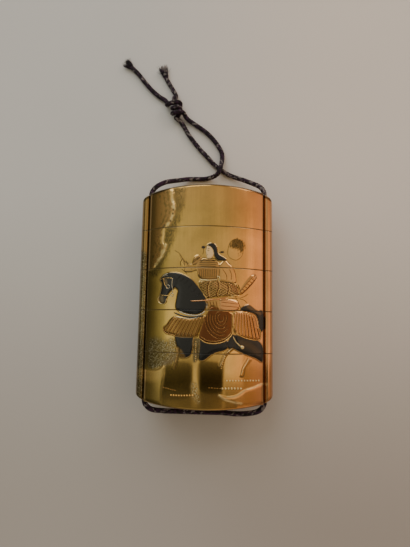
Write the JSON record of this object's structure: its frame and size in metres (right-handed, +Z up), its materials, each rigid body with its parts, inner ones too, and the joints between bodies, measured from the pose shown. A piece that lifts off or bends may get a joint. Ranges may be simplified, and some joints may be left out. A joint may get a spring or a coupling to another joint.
{
  "type": "inro case",
  "caption": "Flat gold-lacquered inro whose stacked cases and lid are strung on a knotted silk cord, with a low-relief horse and rider.",
  "frame": {"origin": "middle of the case in plan, at the small flat on the crown of its back, which it lies on", "axes": "+X across the case towards the right-hand cord runner as the picture is seen, +Y along the case towards the lid, +Z up through the front face"},
  "size_m": [0.0679, 0.1587, 0.0244],
  "materials": {
    "gold_lacquer": null,
    "dark_silk": "matt braided silk, purple-black with pale flecks"
  },
  "bodies": {
    "root": {"lid": "gold_lacquer", "case_1": "gold_lacquer", "case_2": "gold_lacquer", "case_3": "gold_lacquer", "case_4": "gold_lacquer", "cord_held": "dark_silk", "cord_left": "dark_silk", "cord_right": "dark_silk", "cord_knot": "dark_silk", "cord_tail_left": "dark_silk", "cord_tail_right": "dark_silk"}
  },
  "joints": []
}
